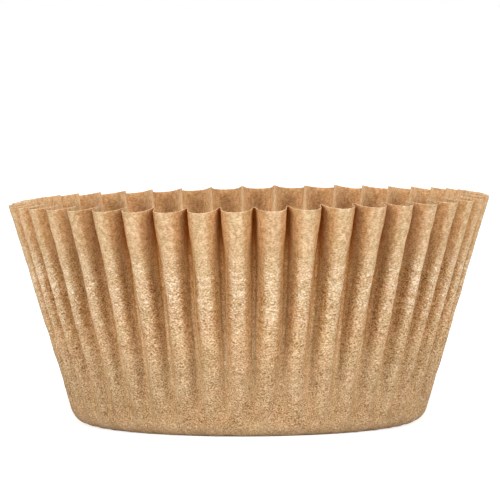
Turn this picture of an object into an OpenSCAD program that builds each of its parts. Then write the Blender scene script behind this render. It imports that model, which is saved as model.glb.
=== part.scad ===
// Paper cupcake liner: one round sheet of brown greaseproof paper, pressed into a pleated cup.
// Millimetres. +Z is up, and the origin is the centre of the underside of the floor.
// Every point of the cup keeps its distance along the sheet from the middle of the sheet,
// and the sheet's spare width is taken up by the pleats, so the cup would unfold flat.
// Only the creases are crimped a little shorter, which keeps them from standing far above the crests.

/* [Sheet] */
// Diameter of the flat round sheet before it is pressed
blank_d = 114.3; // [108:0.1:120]
// Thickness of the paper
paper_t = 0.08; // [0.06:0.01:0.15]

/* [Cup] */
// Diameter of the flat part of the floor
floor_d = 45.2; // [42:0.1:52]
// Radius of the round corner from the floor up into the wall
corner_r = 2.9; // [1:0.1:4]
// Lean of the pleat crests away from upright, in degrees
wall_lean = 16.7; // [13:0.1:20]

/* [Pleats] */
// Number of pleats round the wall
pleats = 42; // [36:2:48]
// How far the creases are closed at the rim: 0 is open like the crests, 1 would be folded shut
rim_close = 0.95; // [0:0.05:0.95]
// Distance below the rim at which the creases have opened out like the crests
open_below = 28; // [8:0.5:30]
// Share of the creases' extra height at the rim that their crimping takes away
crimp = 0.5; // [0:0.05:1]
// Share of the spare width that the pleats take up where they start, the rest being fine crinkles
start_share = 0.45; // [0.3:0.05:1]
// Distance up the wall over which the pleats come to take up all of the spare width
pleat_rise = 12; // [4:1:20]

/* [Smoothness] */
// Points round each pleat (even, so that the crest and the crease each get one)
pleat_pts = 10; // [6:2:12]

/* [Hidden] */

paper_brown = [0.80, 0.63, 0.43];

floor_r = floor_d / 2;
blank_r = blank_d / 2;
corner_turn = 90 - wall_lean;                          // how far the corner turns the sheet upward
corner_s = corner_r * corner_turn * PI / 180;          // length of sheet in the corner
straight_s = blank_r - floor_r - corner_s;             // length of sheet in the straight wall

// Rows up the wall, as distances along the sheet from its middle
rows = [
    floor_r,
    floor_r + 0.34 * corner_s,
    floor_r + 0.67 * corner_s,
    floor_r + corner_s,
    floor_r + corner_s + 0.34 * straight_s,
    floor_r + corner_s + 0.68 * straight_s,
    blank_r
];

// ---- The line that a pleat's crest follows, by distance s along the sheet ----
// Turn of the sheet from flat at s
function turn(s) = s <= floor_r ? 0 : min(corner_turn, (s - floor_r) / corner_r * 180 / PI);
// Radius from the axis at s
function crest_x(s) =
    s <= floor_r ? s
    : floor_r + corner_r * sin(turn(s)) + max(0, s - floor_r - corner_s) * sin(wall_lean);
// Height at s
function crest_z(s) =
    s <= floor_r ? 0
    : corner_r * (1 - cos(turn(s))) + max(0, s - floor_r - corner_s) * cos(wall_lean);

// ---- One pleat in plan: a sheet that swings to either side of its run ----
function total(v) = v * [for (x = v) 1];
// Width that is left of a unit length of sheet when it swings by up to a degrees
function width_left(a) = total([for (i = [0:23]) cos(a * sin((i + 0.5) * 7.5))]) / 24;
// Depth, crest to crease, of one such wave made from a unit length of sheet
function unit_depth(a) = total([for (i = [0:23]) sin(a * sin((i + 0.5) * 7.5))]) / 48;
// Swing that leaves the width w of each unit length
function swing(w, lo = 0, hi = 100, n = 22) =
    n == 0 ? (lo + hi) / 2
    : let (m = (lo + hi) / 2) width_left(m) > w ? swing(w, m, hi, n - 1) : swing(w, lo, m, n - 1);

// Share of the spare width that the pleats take up at s
function share(s) =
    let (u = min(1, max(0, (s - floor_r) / pleat_rise)))
    start_share + (1 - start_share) * u * u * (3 - 2 * u);

// Mean radius, swing and length of sheet of one pleat at s, settled by repetition
function pleat_at(s, r, n = 6) =
    let (width = 2 * PI * r / pleats,
         len = width * (1 + max(0, s / r - 1) * share(s)),
         a = s <= floor_r ? 0 : swing(width / len),
         next_r = crest_x(s) - len * unit_depth(a) / 2)
    n == 0 ? [r, a, len, width] : pleat_at(s, next_r, n - 1);

// How far the creases are closed at s
function close_at(s) =
    let (u = min(1, (blank_r - s) / open_below))
    rim_close * (1 - u * u * (3 - 2 * u));
// The same as a distance by which the sheet lies outside its own middle line, so that crests are rounder and creases tighter
function bias_at(s, p) = p[1] < 1 ? 0 : close_at(s) * p[2] / (2 * PI * p[1] * PI / 180);

// Where point j of a pleat lies along its sheet, in steps of a fine division: closer together round the crest
fine = pleat_pts * 8;
function place(j) = round(fine * (j / pleat_pts + 0.4 * sin(360 * j / pleat_pts) / (2 * PI)));

// Points along a pleat from its crease (0) over its crest (1/2) to the next crease (1):
// [share of the pleat's width, depth below the outside of the crest], for the face that lies off outward
function pleat_line(p, bias, off) =
    let (a = p[1], len = p[2], width = p[3], step = len / fine,
         run = [for (i = 0, x = 0, y = 0; i <= fine;
                     x = x + step * cos(a * sin(360 * (i + 0.5) / fine)),
                     y = y + step * sin(a * sin(360 * (i + 0.5) / fine)),
                     i = i + 1) [x, y]],
         top = run[fine / 2][1] + bias)
    [for (j = [0:pleat_pts - 1])
        let (i = place(j), t = a * sin(360 * i / fine))
        [(run[i][0] - off * sin(t)) / width, top - run[i][1] - off * cos(t)]];

pleat_list = [for (s = rows) pleat_at(s, crest_x(s))];
biases = [for (i = [0:len(rows) - 1]) bias_at(rows[i], pleat_list[i])];
outer_lines = [for (i = [0:len(rows) - 1]) pleat_line(pleat_list[i], biases[i], biases[i])];
// The inside face lies one paper thickness in, measured square to the sheet
inner_lines = [for (i = [0:len(rows) - 1])
    pleat_line(pleat_list[i], biases[i], biases[i] - paper_t * sin(turn(rows[i])))];

// Length in plan of the step from row i to the next at point j, squared
function plan_step(i, j) =
    let (r0 = crest_x(rows[i]) - outer_lines[i][j][1],
         r1 = crest_x(rows[i + 1]) - outer_lines[i + 1][j][1],
         side = (outer_lines[i + 1][j][0] - outer_lines[i][j][0]) * 2 * PI / pleats * (r0 + r1) / 2)
    (r1 - r0) * (r1 - r0) + side * side;
// Extra height of point j over the crest after row i: a crease stands steeper than a crest, so it ends higher
function lift(i, j) =
    i == 0 ? 0
    : let (ds = rows[i] - rows[i - 1])
      lift(i - 1, j)
      + (1 - crimp) * (sqrt(max(0, ds * ds - plan_step(i - 1, j)))
                       - sqrt(max(0, ds * ds - plan_step(i - 1, pleat_pts / 2))));
lifts = [for (i = [0:len(rows) - 1]) [for (j = [0:pleat_pts - 1]) lift(i, j)]];

// A ring of points for row i of one face; the first crease is on the -Y axis
function ring(i, lines, rise) = [
    for (k = [0:pleats - 1], j = [0:pleat_pts - 1])
        let (turned = -90 + (k + lines[i][j][0]) * 360 / pleats,
             r = crest_x(rows[i]) - lines[i][j][1])
        [r * cos(turned), r * sin(turned), crest_z(rows[i]) + lifts[i][j] + rise]
];

// The two faces of the sheet, joined by its cut edge at the rim
module liner() {
    m = pleats * pleat_pts;
    n = len(rows);
    outer = [for (i = [0:n - 1]) each ring(i, outer_lines, 0)];
    inner = [for (i = [0:n - 1]) each ring(i, inner_lines, paper_t * cos(turn(rows[i])))];
    base = n * m;
    color(paper_brown)
        polyhedron(
            points = concat(outer, inner),
            faces = concat(
                [[for (k = [0:m - 1]) k]],
                [[for (k = [m - 1:-1:0]) base + k]],
                [for (i = [0:n - 2], k = [0:m - 1])
                    let (a = i * m + k, b = i * m + (k + 1) % m) each [[a, a + m, b], [b, a + m, b + m]]],
                [for (i = [0:n - 2], k = [0:m - 1])
                    let (a = base + i * m + k, b = base + i * m + (k + 1) % m) each [[a, b, a + m], [b, b + m, a + m]]],
                [for (k = [0:m - 1])
                    let (a = (n - 1) * m + k, b = (n - 1) * m + (k + 1) % m)
                    each [[a, base + a, b], [b, base + a, base + b]]]
            ),
            convexity = 20
        );
}

liner();
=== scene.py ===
import math

import bpy
import numpy as np
from mathutils import Matrix, Vector


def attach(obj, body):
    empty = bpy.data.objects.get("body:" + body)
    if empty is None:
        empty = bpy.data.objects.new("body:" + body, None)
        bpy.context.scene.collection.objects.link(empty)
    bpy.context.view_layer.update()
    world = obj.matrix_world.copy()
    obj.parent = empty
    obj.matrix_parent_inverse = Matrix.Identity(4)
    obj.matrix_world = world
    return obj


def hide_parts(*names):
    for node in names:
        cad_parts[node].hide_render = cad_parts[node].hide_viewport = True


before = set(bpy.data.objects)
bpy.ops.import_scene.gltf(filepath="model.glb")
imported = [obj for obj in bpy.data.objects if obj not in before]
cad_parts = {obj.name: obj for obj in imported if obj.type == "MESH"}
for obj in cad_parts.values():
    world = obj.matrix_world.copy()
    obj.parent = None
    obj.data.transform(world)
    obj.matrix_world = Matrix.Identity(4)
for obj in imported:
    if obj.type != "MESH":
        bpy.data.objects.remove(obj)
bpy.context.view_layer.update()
MM = 0.001

# ---------------------------------------------------------------- camera
CAM_AZIMUTH, CAM_DISTANCE, CAM_HEIGHT = -1.5, 688.0, 65.2  # degrees, mm from the cup's axis, mm above the floor
CAM_LOOK = (0.24, 0.0, 24.46)  # mm, the point in the middle of the picture
CAM_LENS, CAM_ROLL = 348.2, -0.28  # mm on a 36 mm sensor, degrees


def make_camera():
    data = bpy.data.cameras.new("camera")
    data.sensor_fit, data.sensor_width, data.lens = "HORIZONTAL", 36.0, CAM_LENS
    data.clip_start, data.clip_end = 0.02, 30.0
    cam = bpy.data.objects.new("camera", data)
    bpy.context.scene.collection.objects.link(cam)
    a = math.radians(CAM_AZIMUTH)
    place = Vector((math.sin(a) * CAM_DISTANCE, -math.cos(a) * CAM_DISTANCE, CAM_HEIGHT)) * MM
    look = Vector(CAM_LOOK) * MM
    turn = (look - place).to_track_quat("-Z", "Y").to_matrix().to_4x4()
    cam.matrix_world = Matrix.Translation(place) @ turn @ Matrix.Rotation(math.radians(CAM_ROLL), 4, "Z")
    bpy.context.scene.camera = cam
    return cam


make_camera()

# ---------------------------------------------------------------- the pressed sheet, in millimetres
BLANK_R, PAPER = 57.15, 0.08
FLOOR_R, CORNER_R, LEAN = 22.6, 2.9, math.radians(16.7)
PLEATS, PTS = 42, 24
CORNER_TURN = math.pi / 2 - LEAN
CORNER_S = CORNER_R * CORNER_TURN
WALL_S0 = FLOOR_R + CORNER_S
START_SHARE, PLEAT_RISE = 0.45, 12.0
# how far the crests are rounder than the creases, as a share of the fold's own radius, by distance below the rim
TIGHT_AT = ((0.0, 0.982), (1.5, 0.97), (3.0, 0.90), (4.5, 0.77), (6.5, 0.58), (9.0, 0.52), (12.0, 0.55), (18.0, 0.62), (26.0, 0.30), (40.0, 0.0))
CRIMPED = 0.5  # share of the creases' extra height that the crimping of the paper takes up
EDGE_SHIFT, EDGE_TOWARD = 0.50, math.radians(-5.0)  # how far the blank lay off centre under the punch, and toward where


def smooth(x):
    x = np.clip(x, 0.0, 1.0)
    return x * x * (3 - 2 * x)


def turn_at(s):
    return np.clip((s - FLOOR_R) / CORNER_R, 0.0, CORNER_TURN)


def crest_x(s):
    wall = np.maximum(0.0, s - WALL_S0)
    return np.where(s <= FLOOR_R, s, FLOOR_R + CORNER_R * np.sin(turn_at(s)) + wall * math.sin(LEAN))


def crest_z(s):
    return CORNER_R * (1 - np.cos(turn_at(s))) + np.maximum(0.0, s - WALL_S0) * math.cos(LEAN)


def tight_at(s):
    return np.interp(BLANK_R - s, [d for d, _ in TIGHT_AT], [v for _, v in TIGHT_AT])


def share_at(s):
    return START_SHARE + (1 - START_SHARE) * smooth((s - FLOOR_R) / PLEAT_RISE)


# The wave of a folded sheet: its heading swings by +-a, and these give the width left of a unit of length, and the depth
SWINGS = np.radians(np.linspace(0.0, 112.0, 1121))
_phase = (np.arange(96) + 0.5) * math.pi / 48
WIDTH_LEFT = np.cos(SWINGS[:, None] * np.sin(_phase)).mean(1)
UNIT_DEPTH = np.sin(SWINGS[:, None] * np.sin(_phase[:48])).mean(1) / 2


def swing_for(width_left):
    return np.interp(width_left, WIDTH_LEFT[::-1], SWINGS[::-1])


def wave(a, fine=8):
    """Points along one wave of the sheet from crease to crease, for each swing in a: (x, y, heading), per unit of length."""
    n = PTS * fine
    t = (np.arange(n) + 0.5) / n
    head = a[..., None] * np.sin(2 * math.pi * t)
    zero = np.zeros(a.shape + (1,))
    x = np.concatenate([zero, np.cumsum(np.cos(head), -1)], -1)[..., ::fine] / n
    y = np.concatenate([zero, np.cumsum(np.sin(head), -1)], -1)[..., ::fine] / n
    heading = a[..., None] * np.sin(2 * math.pi * np.arange(PTS + 1) / PTS)
    return x, y, heading


def slow(rng, s, knots, size):
    """A smooth random course up the wall for each pleat: rows x pleats, between -size and size or so, the size given at each knot."""
    values = rng.uniform(-1, 1, (len(knots), PLEATS)) * np.asarray(size)[:, None]
    out = np.empty((len(s), PLEATS))
    for k in range(PLEATS):
        # a cubic through the knots, by repeated smoothing of the straight course
        course = np.interp(s, knots, values[:, k])
        for _ in range(6):
            course = np.convolve(np.pad(course, 2, "edge"), [0.1, 0.2, 0.4, 0.2, 0.1], "valid")
        out[:, k] = course
    return out


def rows_up():
    """Distances along the sheet of the rows of points, closer together in the corner and at the rim."""
    corner = np.linspace(FLOOR_R, WALL_S0 + 0.3, 11)
    wall = np.linspace(WALL_S0 + 0.3, BLANK_R, 60)[1:]
    return np.concatenate([corner, wall])


def sheet_grid():
    """The outer face of the wall: x, y, z for each row and column, and where in its fold each point lies."""
    rng = np.random.default_rng(42)
    s = rows_up()
    pitch = 2 * math.pi / PLEATS
    knots = np.array([FLOOR_R, 26.0, 30.0, 35.0, 41.0, 48.0, BLANK_R])
    # creases and crests wander sideways (share of a pleat), more so low on the wall, where nothing holds them in step
    crease_at = np.arange(PLEATS) + slow(rng, s, knots, [0.13, 0.12, 0.09, 0.06, 0.04, 0.028, 0.022])
    off_middle = slow(rng, s, knots, [0.10, 0.08, 0.06, 0.045, 0.03, 0.02, 0.015])
    next_crease = np.roll(crease_at, -1, 1)
    next_crease[:, -1] += PLEATS
    crest_at = (crease_at + next_crease) / 2 + off_middle
    own_width = next_crease - crease_at
    line = crest_x(s)[:, None]
    r = line.copy()
    for _ in range(8):
        stretch = 1 + np.maximum(0, s[:, None] / r - 1) * share_at(s)[:, None]
        a = swing_for(1 / stretch)
        r = line - pitch * r * stretch * np.interp(a, SWINGS, UNIT_DEPTH) / 2
    width = pitch * r * own_width
    length = width * stretch
    a = a * np.ones((1, PLEATS))
    bias = tight_at(s)[:, None] * length / (2 * math.pi * np.maximum(a, 0.2))
    x, y, heading = wave(a)
    x = (x * length[..., None] - bias[..., None] * np.sin(heading)) / width[..., None]
    depth = (y[..., PTS // 2] * length + bias)[..., None] - y * length[..., None] - bias[..., None] * np.cos(heading)
    full = depth[..., :1]
    share = 1 - depth / np.maximum(full, 1e-9)  # 0 at the crease, 1 at the crest
    uneven = 1 + slow(rng, s, knots, [0.5, 0.35, 0.22, 0.14, 0.08, 0.05, 0.03])
    crease_depth = (full[..., 0] + np.roll(full[..., 0], 1, 1)) / 2 * uneven
    crest_rise = slow(rng, s, knots, [0.0, 0.05, 0.09, 0.11, 0.10, 0.07, 0.04])
    half = PTS // 2
    to_right = np.concatenate([crease_depth[:, 1:], crease_depth[:, :1]], 1)
    ang = np.empty((len(s), PLEATS, PTS))
    dep = np.empty_like(ang)
    for j in range(PTS):
        f = x[..., j] / 0.5
        if j <= half:
            ang[..., j] = crease_at + (crest_at - crease_at) * f
            dep[..., j] = crease_depth * (1 - share[..., j])
        else:
            ang[..., j] = crest_at + (next_crease - crest_at) * (f - 1)
            dep[..., j] = to_right * (1 - share[..., j])
    dep = dep - crest_rise[..., None] * share[..., :PTS]
    # mm below the top of the crest, mm above the bottom of the crease, and the share of the way up between them
    fold = np.stack([(1 - share) * full, share * full, share], -1)[..., :PTS, :]
    cols = PLEATS * PTS
    ang = ang.reshape(len(s), cols) * pitch - math.pi / 2
    rad = line - dep.reshape(len(s), cols)
    # the height follows from the sheet's own length: a steeper line ends higher
    z = np.empty_like(rad)
    z[0] = 0.0
    line_z = crest_z(s)
    for i in range(1, len(s)):
        ds = s[i] - s[i - 1]
        mid = (rad[i] + rad[i - 1]) / 2
        plan = (rad[i] - rad[i - 1]) ** 2 + (mid * (ang[i] - ang[i - 1])) ** 2
        ideal = (crest_x(s[i]) - crest_x(s[i - 1])) ** 2
        step = np.sqrt(np.maximum(0, ds * ds - plan)) - math.sqrt(max(0.0, ds * ds - ideal))
        z[i] = z[i - 1] + step * (1 - CRIMPED) + (line_z[i] - line_z[i - 1])
    return s, np.stack([rad * np.cos(ang), rad * np.sin(ang), z], -1), fold.reshape(len(s), cols, 3)


def hilly(rng, pts, size, count):
    """A smooth random field over points, as a sum of waves about size long."""
    total = np.zeros(len(pts))
    for _ in range(count):
        d = rng.normal(size=pts.shape[1])
        d *= 2 * math.pi / size / np.linalg.norm(d) * rng.uniform(0.6, 1.5)
        total += np.sin(pts @ d + rng.uniform(0, 2 * math.pi))
    return total / math.sqrt(count / 2)


def normals_of(grid):
    """Unit normals of a grid of points that closes on itself sideways, pointing out of the cup."""
    across = np.roll(grid, -1, 1) - np.roll(grid, 1, 1)
    up = np.gradient(grid, axis=0)
    n = np.cross(across, up)
    return n / np.maximum(np.linalg.norm(n, axis=-1, keepdims=True), 1e-12)


LEVEL = np.array([[0.0, 0.0, 0.0]])  # where in a fold the flat floor lies


def lay_flat(mesh, flat, side):
    """A map for baking: the sheet's outer face laid flat, its cut edge as a thin ring round it, and its inner face beside them."""
    at = np.empty(len(mesh.loops), np.int32)
    mesh.loops.foreach_get("vertex_index", at)
    corners = np.empty(len(mesh.polygons), np.int32)
    mesh.polygons.foreach_get("loop_total", corners)
    owner = np.repeat(np.arange(len(corners)), corners)
    part = (np.bincount(owner, side[at]) / corners)[owner]
    mirrored = flat[at] * np.array([-1.0, 1.0]) / BLANK_R
    uv = np.where(part[:, None] > 0.5, 0.76 + 0.235 * flat[at] / BLANK_R, 0.34 + 0.325 * mirrored)
    cut = (part > 0) & (part < 1)
    uv[cut] = 0.34 + mirrored[cut] * np.where(side[at][cut] > 0, 0.334, 0.328)[:, None]
    mesh.uv_layers.new(name="OFBake").data.foreach_set("uv", uv.astype(np.float32).ravel())


def build_liner():
    rng = np.random.default_rng(7)
    s, outer, fold = sheet_grid()
    rows, cols = outer.shape[:2]
    flat_angle = (np.arange(cols) / PTS * 2 * math.pi / PLEATS) - math.pi / 2
    flat = np.stack([s[:, None] * np.cos(flat_angle), s[:, None] * np.sin(flat_angle)], -1)

    # an uneven cut: the blank lay a little off centre, so the rim runs lower on one side
    edge = EDGE_SHIFT * np.cos(flat_angle - EDGE_TOWARD) + 0.05 * np.sin(flat_angle * 5 + 1.0)
    up = np.gradient(outer, axis=0) / np.gradient(s)[:, None, None]
    near_rim = smooth((s - (BLANK_R - 7.0)) / 7.0)[:, None, None]
    outer = outer + up * near_rim * edge[None, :, None]

    # slack in the paper: soft dents and swells, less on the pressed floor and at the corner
    n = normals_of(outer)
    free = smooth((s - WALL_S0) / 5.0)[:, None]
    field = hilly(rng, flat.reshape(-1, 2), 5.0, 40).reshape(rows, cols)
    small = hilly(rng, flat.reshape(-1, 2), 1.7, 60).reshape(rows, cols)
    outer = outer + n * ((0.022 * field + 0.011 * small) * free)[..., None]

    n = normals_of(outer)
    inner_rows = np.unique(np.concatenate([np.arange(0, 11, 2), np.arange(10, rows, 3), [rows - 1]]))
    inner = outer - n * PAPER
    inner[0] = outer[0] + np.array([0, 0, PAPER])

    verts, faces, flats, folds, sides = [], [], [], [], []

    def add(points, flat_at, fold_at, side):
        base = sum(len(v) for v in verts)
        sides.append(np.full(len(points), side))
        verts.append(points)
        flats.append(np.concatenate([flat_at, np.full((len(flat_at), 1), 0.0)], 1))
        folds.append(fold_at * np.ones((len(points), 1)))
        return base

    def strip(a, b, count_a, count_b, flip):
        """Faces between ring a and ring b, where ring b has as many points or half as many."""
        out = []
        if count_a == count_b:
            for k in range(count_a):
                m = (k + 1) % count_a
                out.append((a + k, b + k, b + m, a + m))
        else:
            step = count_a // count_b
            for k in range(count_b):
                m = (k + 1) % count_b
                i0, i1, i2 = a + k * step, a + k * step + 1, a + (k * step + step) % count_a
                if step == 2:
                    out += [(i0, b + k, i1), (i1, b + k, b + m), (i1, b + m, i2)]
                else:
                    ring = [a + (k * step + q) % count_a for q in range(step + 1)]
                    mid = step // 2
                    for q in range(mid):
                        out.append((ring[q], b + k, ring[q + 1]))
                    out.append((ring[mid], b + k, b + m))
                    for q in range(mid, step):
                        out.append((ring[q], b + m, ring[q + 1]))
        return [f[::-1] for f in out] if flip else out

    # outer wall
    out_base = [add(outer[i], flat[i], fold[i] * np.array([1.0, 1.0, 0.0]), 0) for i in range(rows)]
    for i in range(rows - 1):
        faces += strip(out_base[i], out_base[i + 1], cols, cols, True)
    # inner wall
    in_base = {}
    for i in inner_rows:
        # the inside's folds are open and aren't rubbed, and get little of the painted fold shade and highlight, so
        # their colour changes little
        depth = 0.26 + 0.30 * fold[i][:, 2]
        in_base[i] = add(inner[i], flat[i], np.stack([depth, depth + 0.4, np.ones(cols)], -1), 1)
    for i, k in zip(inner_rows[:-1], inner_rows[1:]):
        faces += strip(in_base[i], in_base[k], cols, cols, False)
    # cut edge
    faces += strip(out_base[rows - 1], in_base[rows - 1], cols, cols, True)
    # floor, both faces: rings of fewer and fewer points
    for ring0, lift, side in ((out_base[0], 0.0, 0), (in_base[0], PAPER, 1)):
        last, count = ring0, cols
        for radius, n_pts in ((22.0, 504), (20.4, 252), (17.5, 126), (13.0, 126), (8.5, 42), (4.0, 42)):
            ang = np.arange(n_pts) * 2 * math.pi / n_pts - math.pi / 2
            p2 = np.stack([radius * np.cos(ang), radius * np.sin(ang)], -1)
            dome = 0.22 * smooth((FLOOR_R - radius) / 12.0)
            ripple = hilly(np.random.default_rng(5), p2, 15.0, 12) * 0.05 * smooth((FLOOR_R - radius) / 8.0)
            z = np.maximum(0.0, dome + ripple) + lift
            ring = add(np.concatenate([p2, z[:, None]], 1), p2, LEVEL, side)
            faces += strip(last, ring, count, n_pts, side == 1)
            last, count = ring, n_pts
        c = add(np.array([[0, 0, 0.22 + lift]]), np.array([[0.0, 0.0]]), LEVEL, side)
        for k in range(count):
            m = (k + 1) % count
            faces.append((last + k, last + m, c) if side else (last + k, c, last + m))

    verts = np.concatenate(verts) * MM
    mesh = bpy.data.meshes.new("liner_paper")
    mesh.from_pydata(verts.tolist(), [], faces)
    mesh.validate(clean_customdata=False)
    mesh.update()
    for name, data in (("sheet", np.concatenate(flats)), ("fold", np.concatenate(folds))):
        at = mesh.attributes.new(name, "FLOAT_VECTOR", "POINT")
        at.data.foreach_set("vector", data.astype(np.float32).ravel())
    lay_flat(mesh, np.concatenate(flats)[:, :2], np.concatenate(sides))
    mesh.polygons.foreach_set("use_smooth", np.ones(len(mesh.polygons), bool))
    # the cut edge of the paper stays crisp
    crisp = mesh.attributes.get("sharp_edge") or mesh.attributes.new("sharp_edge", "BOOLEAN", "EDGE")
    ends = np.empty(len(mesh.edges) * 2, np.int32)
    mesh.edges.foreach_get("vertices", ends)
    ends = ends.reshape(-1, 2)
    on_rim = np.zeros((2, len(verts)), bool)
    on_rim[0, out_base[rows - 1]:out_base[rows - 1] + cols] = True
    on_rim[1, in_base[rows - 1]:in_base[rows - 1] + cols] = True
    sharp = (on_rim[0][ends].all(1)) | (on_rim[1][ends].all(1))
    crisp.data.foreach_set("value", sharp)
    piece = bpy.data.objects.new("liner_paper", mesh)
    bpy.context.scene.collection.objects.link(piece)
    return piece


# ---------------------------------------------------------------- paper material
class Nodes:
    """Short names for building a material's nodes."""

    def __init__(self, tree):
        self.tree, self.link = tree, tree.links.new

    def new(self, kind):
        return self.tree.nodes.new(kind)

    def put(self, value, socket):
        if isinstance(value, (int, float)):
            socket.default_value = value
        elif isinstance(value, tuple):
            socket.default_value = value if len(value) == len(socket.default_value) else value + (1.0,)
        else:
            self.link(value, socket)

    def attr(self, name, out="Fac"):
        n = self.new("ShaderNodeAttribute")
        n.attribute_type, n.attribute_name = "GEOMETRY", name
        return n.outputs[out]

    def math(self, op, a, b=None, c=None, clamp=False):
        n = self.new("ShaderNodeMath")
        n.operation, n.use_clamp = op, clamp
        for i, v in enumerate((a, b, c)):
            if v is not None:
                self.put(v, n.inputs[i])
        return n.outputs[0]

    def noise(self, vec, scale, detail=2.0, rough=0.5, distort=0.0, seed=0.0):
        moved = self.new("ShaderNodeVectorMath")
        moved.operation = "ADD"
        self.put(vec, moved.inputs[0])
        moved.inputs[1].default_value = (seed * 3.1, seed * 1.7, seed)
        n = self.new("ShaderNodeTexNoise")
        n.noise_dimensions = "3D"
        for name, v in (("Scale", scale), ("Detail", detail), ("Roughness", rough), ("Distortion", distort)):
            n.inputs[name].default_value = v
        self.link(moved.outputs[0], n.inputs["Vector"])
        return n.outputs["Fac"]

    def ramp(self, value, lo, hi, to_lo=0.0, to_hi=1.0):
        n = self.new("ShaderNodeMapRange")
        n.interpolation_type, n.clamp = "SMOOTHSTEP", True
        for name, v in (("From Min", lo), ("From Max", hi), ("To Min", to_lo), ("To Max", to_hi)):
            n.inputs[name].default_value = v
        self.link(value, n.inputs["Value"])
        return n.outputs["Result"]

    def thread(self, value, mid, wide):
        """1 along the lines where a noise crosses mid, 0 beyond wide."""
        return self.ramp(self.math("ABSOLUTE", self.math("SUBTRACT", value, mid)), wide * 0.25, wide, 1.0, 0.0)

    def mix(self, fac, a, b, mode="MIX"):
        n = self.new("ShaderNodeMix")
        n.data_type, n.blend_type, n.clamp_factor = "RGBA", mode, True
        self.put(fac, n.inputs[0])
        self.put(a, n.inputs[6])
        self.put(b, n.inputs[7])
        return n.outputs[2]

    def colours(self, value, lo, hi, stops):
        """A colour for each value from lo to hi, running straight between the stops (value, colour)."""
        n = self.new("ShaderNodeValToRGB")
        n.color_ramp.interpolation = "LINEAR"
        cells = n.color_ramp.elements
        while len(cells) < len(stops):
            cells.new(0.5)
        for cell, (at, colour) in zip(cells, stops):
            cell.position, cell.color = (at - lo) / (hi - lo), colour + (1.0,)
        k = self.new("ShaderNodeMapRange")
        k.clamp = True
        for name, v in (("From Min", lo), ("From Max", hi), ("To Min", 0.0), ("To Max", 1.0)):
            k.inputs[name].default_value = v
        self.link(value, k.inputs["Value"])
        self.link(k.outputs["Result"], n.inputs["Fac"])
        return n.outputs["Color"]

    def pulp_and_light_tone(self, colour, tone):
        """The colour made darker or lighter by a tone, of pulp and of painted light and shade: where it is darker it is
        also redder.
        """
        n = self.new("ShaderNodeVectorMath")
        n.operation = "MULTIPLY"
        self.link(colour, n.inputs[0])
        self.link(self.vector(*[self.math("POWER", tone, p) for p in (0.80, 1.05, 1.45)]), n.inputs[1])
        return n.outputs[0]

    def split(self, vec):
        n = self.new("ShaderNodeSeparateXYZ")
        self.link(vec, n.inputs[0])
        return n.outputs[:3]

    def vector(self, x, y, z=0.0):
        n = self.new("ShaderNodeCombineXYZ")
        for i, v in enumerate((x, y, z)):
            self.put(v, n.inputs[i])
        return n.outputs[0]


# crest tops: partly rubbed paper, partly painted highlight; flanks: painted shade, upper and lower wall
RUBBED_LIT_CREST, SHADED_FLANK, SHADED_LOW_FLANK = (0.552, 0.366, 0.198), (0.457, 0.242, 0.101), (0.398, 0.225, 0.096)
# pale rubbed strokes with painted sheen, and the colour of the cut edge
RUBBED_SHEEN, CUT = (0.845, 0.700, 0.510), (0.800, 0.620, 0.400)
OLIVE, RUSTY = (0.985, 1.004, 0.985), (1.013, 0.992, 0.997)
# painted shade: the sheet darker and warmer the lower it stands in its fold, mm from half way up: in the upper wall,
# and further down
FOLD_SHADE_UPPER = ((-1.80, (0.270, 0.042, 0.002)), (-1.45, (0.335, 0.084, 0.008)), (-1.10, (0.393, 0.147, 0.031)),
             (-0.70, (0.445, 0.207, 0.075)), (-0.35, (0.455, 0.234, 0.096)), (0.0, (0.458, 0.246, 0.105)))
FOLD_SHADE_LOWER = ((-1.50, (0.375, 0.152, 0.036)), (-1.10, (0.432, 0.219, 0.073)), (-0.70, (0.444, 0.254, 0.104)),
            (-0.30, (0.435, 0.249, 0.108)), (0.0, (0.408, 0.236, 0.104)))


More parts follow.
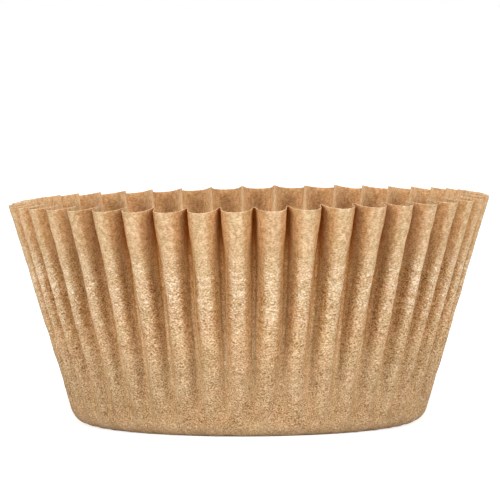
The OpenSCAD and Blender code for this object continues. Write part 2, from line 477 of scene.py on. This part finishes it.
def paper_material():
    mat = bpy.data.materials.new("brown_paper")
    mat.use_nodes = True
    mat.node_tree.nodes.clear()
    k = Nodes(mat.node_tree)
    times, plus = (lambda a, b: k.math("MULTIPLY", a, b)), (lambda a, b: k.math("ADD", a, b))
    sheet = k.attr("sheet", "Vector")                     # where the point lies on the flat sheet, mm
    below, above, inside = k.split(k.attr("fold", "Vector"))  # mm under its crest, mm over its crease, and 1 on the inner face
    high = times(k.math("SUBTRACT", above, below), 0.5)
    length = k.new("ShaderNodeVectorMath")
    length.operation = "LENGTH"
    k.link(sheet, length.inputs[0])
    dist = length.outputs["Value"]
    along, athwart, _ = k.split(sheet)
    angle = k.math("ARCTAN2", athwart, along)

    # pulp: clouds, blotches, a fine grain, and curly fibres
    cloud = k.noise(sheet, 0.10, 2.0, 0.5, 0.0, 1.0)
    blotch = k.noise(sheet, 0.55, 3.0, 0.6, 0.3, 2.0)
    grain = k.noise(sheet, 5.6, 1.5, 0.65, 0.3, 3.0)
    swirl = k.noise(sheet, 1.05, 1.0, 0.5, 1.6, 4.0)
    part = k.noise(sheet, 2.3, 1.0, 0.5, 0.8, 5.0)
    curl = times(k.math("SINE", times(swirl, 32.0)), k.ramp(part, 0.30, 0.58, 0.2, 1.0))

    # painted shade, darker and warmer down in the folds; paler on top of the crests, partly rubbed paper and partly
    # painted highlight, less so near the floor
    upper = k.ramp(dist, 47.5, 54.5)
    base = k.mix(upper, k.colours(high, -1.8, 0.0, FOLD_SHADE_LOWER), k.colours(high, -1.8, 0.0, FOLD_SHADE_UPPER))
    # painted shade on the flanks below the crest tops
    base = k.mix(times(k.ramp(below, 0.35, 1.10), k.ramp(high, -0.80, 0.10)), base, k.mix(upper, SHADED_LOW_FLANK, SHADED_FLANK))
    # paler crest tops: partly rubbed paper, partly painted highlight
    top = times(k.ramp(below, -0.06, 0.64, 1.0, 0.0), k.ramp(dist, 28.0, 52.0, 0.10, 1.0))
    base = k.mix(top, base, RUBBED_LIT_CREST)
    # painted shade along the bottom of each crease, and the broken pale mark within it where the die's tooth pressed
    low = times(k.ramp(dist, 30.0, 38.0), k.ramp(dist, 49.0, 54.5, 1.0, 0.0))
    line = times(k.ramp(above, 0.06, 0.40, 1.0, 0.0), low)
    base = k.mix(times(line, 0.75), base, k.mix(1.0, base, (0.74, 0.645, 0.525), "MULTIPLY"))
    tooth = times(times(k.ramp(above, 0.01, 0.11, 1.0, 0.0), low), k.ramp(part, 0.34, 0.56, 0.15, 1.0))
    base = k.mix(times(tooth, 0.64), base, k.mix(k.ramp(dist, 40.0, 48.0), (0.565, 0.372, 0.200), (0.590, 0.325, 0.135)))

    # rubbed crests with painted sheen: pale strokes that curve across the pleat, fine ones and a few broad ones, in the
    # upper half of the wall; partly rubbed paper, partly painted sheen
    curved = k.math("MULTIPLY_ADD", below, -0.85, k.math("MULTIPLY_ADD", part, 0.9, dist))
    fine = k.noise(k.vector(times(angle, 12.0), times(curved, 2.1)), 1.0, 2.0, 0.6, 1.1, 6.0)
    broad = k.noise(k.vector(times(angle, 5.5), times(curved, 1.45)), 1.0, 1.5, 0.5, 0.55, 8.0)
    band = times(k.ramp(dist, 37.0, 46.5), k.ramp(dist, 47.5, 53.0, 1.0, 0.04))
    rub_and_sheen = times(times(band, k.ramp(below, 0.08, 0.54, 1.0, 0.0)), k.ramp(fine, 0.50, 0.62))
    rub_and_sheen = times(rub_and_sheen, k.ramp(blotch, 0.36, 0.58, 0.25, 1.0))
    arcs = k.math("MAXIMUM", k.thread(broad, 0.56, 0.034), times(k.thread(broad, 0.455, 0.030), 0.55))
    stroke = times(times(band, k.ramp(below, 0.40, 1.10, 1.0, 0.0)), arcs)
    rub_and_sheen = times(k.math("MAXIMUM", times(rub_and_sheen, 0.42), times(stroke, 0.44)), k.math("SUBTRACT", 1.0, inside))
    base = k.mix(rub_and_sheen, base, RUBBED_SHEEN)
    base = k.mix(k.ramp(dist, 57.06, 57.13, 0.0, 0.6), base, CUT)

    flecks = plus(k.ramp(curl, -0.95, -0.05, -0.27, 0.0), k.ramp(curl, 0.05, 0.95, 0.0, 0.48))
    flecks = times(flecks, k.ramp(dist, 43.0, 51.0, 1.0, 0.34))
    grains = times(k.ramp(grain, 0.3, 0.7, -0.45, 0.50), times(k.ramp(dist, 27.0, 31.0, 0.92, 1.10), k.ramp(dist, 46.0, 53.0, 1.0, 0.43)))
    flecks = plus(flecks, grains)
    # below the rim the fibres are drawn upward
    drawn = k.noise(k.vector(times(angle, 190.0), times(dist, 1.15)), 1.0, 1.0, 0.5, 0.5, 13.0)
    flecks = plus(flecks, times(k.ramp(drawn, 0.3, 0.7, -0.19, 0.17), k.ramp(dist, 46.0, 53.0)))
    flecks = times(flecks, k.math("MULTIPLY_ADD", times(band, k.ramp(below, 0.3, 0.8, 1.0, 0.0)), -0.18, 1.0))
    # down in the folds the fibres lie bunched
    bunched = k.noise(k.vector(times(angle, 46.0), times(dist, 1.7)), 1.0, 2.5, 0.65, 0.7, 11.0)
    flecks = plus(flecks, times(times(k.ramp(bunched, 0.3, 0.7, -0.22, 0.24), k.ramp(below, 0.35, 0.95)), times(k.ramp(dist, 28.0, 38.0), k.ramp(dist, 46.0, 51.0, 1.0, 0.3))))
    # clouds of more and less pulp, seen most where the paper is smooth
    patch = k.noise(sheet, 0.34, 1.5, 0.5, 0.3, 12.0)
    tone = plus(k.ramp(cloud, 0.3, 0.7, -0.04, 0.04), times(k.ramp(blotch, 0.3, 0.7, -0.05, 0.05), k.ramp(dist, 47.0, 53.0, 1.0, 0.4)))
    tone = plus(tone, times(k.ramp(patch, 0.32, 0.68, -0.10, 0.10), k.ramp(dist, 30.0, 44.0, 1.0, 0.35)))
    # painted shade round the corner and foot: the tone is lower there than up the wall, and the flat floor is lifted
    # again
    tone = plus(tone, k.ramp(dist, 26.0, 33.0, 0.955, 1.095))
    tone = plus(tone, k.ramp(dist, 24.5, 27.2, 0.17, 0.0))
    # a little darker from 36 to 43 mm out on the sheet and beyond, lighter again toward the rim
    tone = plus(tone, k.ramp(dist, 36.0, 43.0, 0.0, -0.095))
    tone = plus(tone, k.ramp(dist, 51.0, 56.0, 0.0, 0.06))
    # painted light lifting the deep parts of the folds, in the upper and middle wall
    tone = plus(tone, times(k.ramp(below, 1.20, 1.85, 0.0, 0.15), times(k.ramp(dist, 36.0, 43.5), k.ramp(dist, 50.5, 54.0, 1.0, 0.0))))
    tone = plus(tone, times(k.ramp(below, 0.90, 1.45, 0.0, 0.17), times(k.ramp(dist, 30.0, 35.0), k.ramp(dist, 39.0, 46.0, 1.0, 0.0))))
    base = k.pulp_and_light_tone(base, plus(tone, flecks))
    # painted shade: the flanks between the pale crest tops and the valleys are darker and warmer
    side = times(k.ramp(below, 0.22, 0.62), k.ramp(below, 1.00, 1.60, 1.0, 0.0))
    side = times(times(side, k.ramp(dist, 35.0, 42.0)), k.ramp(dist, 46.0, 52.0, 1.0, 0.25))
    base = k.mix(side, base, k.mix(1.0, base, (0.895, 0.790, 0.665), "MULTIPLY"))
    # near the floor the paper is a little greyer
    base = k.mix(k.ramp(dist, 30.0, 40.0, 1.0, 0.0), base, k.mix(1.0, base, (0.930, 0.990, 1.085), "MULTIPLY"))
    hue = k.noise(sheet, 0.38, 1.5, 0.5, 0.4, 9.0)
    base = k.mix(1.0, base, k.mix(k.ramp(hue, 0.35, 0.65), OLIVE, RUSTY), "MULTIPLY")

    bsdf = k.new("ShaderNodeBsdfPrincipled")
    k.link(base, bsdf.inputs["Base Color"])
    k.link(k.ramp(high, -1.4, -0.4, 0.0, 0.10), bsdf.inputs["Specular IOR Level"])
    k.link(k.math("SUBTRACT", k.ramp(grain, 0.3, 0.7, 0.66, 0.82), k.math("MULTIPLY", rub_and_sheen, 0.12)), bsdf.inputs["Roughness"])

    # relief: crepe wrinkles across the pleats, fibres and grain
    crepe = k.noise(k.vector(k.math("MULTIPLY", angle, 20.0), k.math("MULTIPLY", dist, 1.9)), 1.0, 2.0, 0.55, 1.0, 7.0)
    rise = k.math("MULTIPLY", crepe, k.math("MULTIPLY", k.ramp(dist, 24.0, 34.0, 0.010, 0.076), k.ramp(dist, 44.0, 51.0, 1.0, 0.06)))
    rise = k.math("MULTIPLY_ADD", curl, k.ramp(dist, 43.0, 51.0, 0.012, 0.002), rise)
    rise = k.math("MULTIPLY_ADD", grain, k.ramp(dist, 46.0, 53.0, 0.040, 0.006), rise)
    bump = k.new("ShaderNodeBump")
    bump.inputs["Strength"].default_value = 1.0
    bump.inputs["Distance"].default_value = 0.001
    k.link(rise, bump.inputs["Height"])
    k.link(bump.outputs["Normal"], bsdf.inputs["Normal"])
    out = k.new("ShaderNodeOutputMaterial")
    k.link(bsdf.outputs[0], out.inputs[0])
    return mat


liner = build_liner()
liner.data.materials.append(paper_material())
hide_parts("liner")
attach(liner, "root")


# ---------------------------------------------------------------- stage and light
def plain(name, colour, rough, glow):
    mat = bpy.data.materials.new(name)
    mat.use_nodes = True
    b = mat.node_tree.nodes["Principled BSDF"]
    b.inputs["Base Color"].default_value = colour + (1.0,)
    b.inputs["Roughness"].default_value = rough
    b.inputs["Specular IOR Level"].default_value = 0.2
    b.inputs["Emission Color"].default_value = colour + (1.0,)
    b.inputs["Emission Strength"].default_value = glow
    return mat


ROOM_LIGHT = 0.30  # the white room's own light on the cup


def make_stage():
    mesh = bpy.data.meshes.new("floor")
    w = 6.0
    mesh.from_pydata([(-w, -w, 0), (w, -w, 0), (w, w, 0), (-w, w, 0)], [], [(0, 1, 2, 3)])
    floor = bpy.data.objects.new("floor", mesh)
    white = plain("floor", (0.75, 0.75, 0.75), 0.6, 0.0)
    k = Nodes(white.node_tree)
    glow = white.node_tree.nodes["Principled BSDF"].inputs
    glow["Emission Color"].default_value = (1.0, 1.0, 1.0, 1.0)
    seen = k.new("ShaderNodeLightPath").outputs["Is Camera Ray"]
    k.link(k.math("MULTIPLY_ADD", seen, 0.61, 0.02), glow["Emission Strength"])
    floor.data.materials.append(white)
    bpy.context.scene.collection.objects.link(floor)
    world = bpy.data.worlds.new("studio")
    bpy.context.scene.world = world
    world.use_nodes = True
    k = Nodes(world.node_tree)
    back = world.node_tree.nodes["Background"]
    back.inputs[0].default_value = (1.0, 1.0, 1.0, 1.0)
    seen = k.new("ShaderNodeLightPath").outputs["Is Camera Ray"]
    k.link(k.math("MULTIPLY_ADD", seen, 1.0 - ROOM_LIGHT, ROOM_LIGHT), back.inputs[1])


def soft_light(name, toward, wide, strength):
    """A broad soft light from far off, in the direction toward, that lights the whole floor evenly."""
    data = bpy.data.lights.new(name, "SUN")
    data.angle, data.energy = math.radians(wide), strength
    o = bpy.data.objects.new(name, data)
    o.rotation_euler = Vector(toward).to_track_quat("Z", "Y").to_euler()
    bpy.context.scene.collection.objects.link(o)
    return o


make_stage()
soft_light("front", (0.0, -0.9, 0.75), 50.0, 0.50)
soft_light("left", (-0.80, -0.66, 0.40), 38.0, 2.36)
soft_light("right", (0.80, -0.66, 0.40), 38.0, 2.28)

scene = bpy.context.scene
scene.view_settings.view_transform = "Standard"
scene.view_settings.look = "None"
